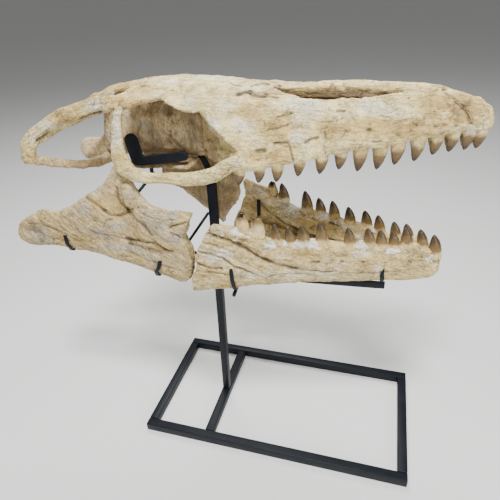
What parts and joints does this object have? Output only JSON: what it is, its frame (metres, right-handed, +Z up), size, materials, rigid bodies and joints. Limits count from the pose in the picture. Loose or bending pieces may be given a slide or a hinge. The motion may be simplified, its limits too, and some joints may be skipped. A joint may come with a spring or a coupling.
{
  "type": "mounted mosasaur skull",
  "caption": "Life-size fossil skull and jaws of a marine reptile, mouth agape, held by rods and claws on a post over a flat rectangular steel base.",
  "frame": {"origin": "on the floor under the post's axis, at the middle of the base's cross bar", "axes": "+X along the skull toward the snout, +Y toward the skull's left side, +Z up"},
  "size_m": [0.86, 0.312, 0.7777],
  "materials": {
    "fossil_bone": "dry fossil bone: cream and ivory with ochre and grey patches, grained and cracked; its teeth have brown enamel that darkens to the tips",
    "shaded_bone": "tan brown fossil bone of the palate and braincase, streaked",
    "black_steel": "satin blue-black paint on steel"
  },
  "bodies": {
    "root": {"premaxilla": "fossil_bone", "maxilla_right": "fossil_bone", "maxilla_left": "fossil_bone", "prefrontal_right": "fossil_bone", "prefrontal_left": "fossil_bone", "frontal": "fossil_bone", "parietal": "fossil_bone", "postorbitofrontal_right": "fossil_bone", "postorbitofrontal_left": "fossil_bone", "jugal_right": "fossil_bone", "jugal_left": "fossil_bone", "squamosal_right": "fossil_bone", "squamosal_left": "fossil_bone", "supratemporal_right": "fossil_bone", "supratemporal_left": "fossil_bone", "paroccipital_right": "fossil_bone", "paroccipital_left": "fossil_bone", "braincase": "shaded_bone", "vomer_palatine": "shaded_bone", "pterygoid_right": "shaded_bone", "pterygoid_left": "shaded_bone", "dentary_right": "fossil_bone", "dentary_left": "fossil_bone", "splenial_right": "fossil_bone", "splenial_left": "fossil_bone", "coronoid_right": "fossil_bone", "articular_right": "fossil_bone", "angular_right": "fossil_bone", "surangular_right": "fossil_bone", "stand_base_near": "black_steel", "stand_base_far": "black_steel", "stand_base_rear": "black_steel", "stand_base_front": "black_steel", "stand_base_cross": "black_steel", "stand_post": "black_steel", "stand_skull_cradle": "black_steel", "stand_skull_arm": "black_steel", "stand_coronoid_rod": "black_steel", "stand_rear_jaw_rod": "black_steel", "stand_jaw_brace": "black_steel", "stand_front_arm_right": "black_steel", "stand_front_arm_left": "black_steel", "stand_rear_arm_right": "black_steel", "stand_rear_arm_left": "black_steel", "stand_claw_right_1": "black_steel", "stand_claw_right_2": "black_steel", "stand_claw_right_3": "black_steel", "stand_claw_right_4": "black_steel", "stand_claw_left_3": "black_steel", "stand_claw_left_4": "black_steel"}
  },
  "joints": []
}
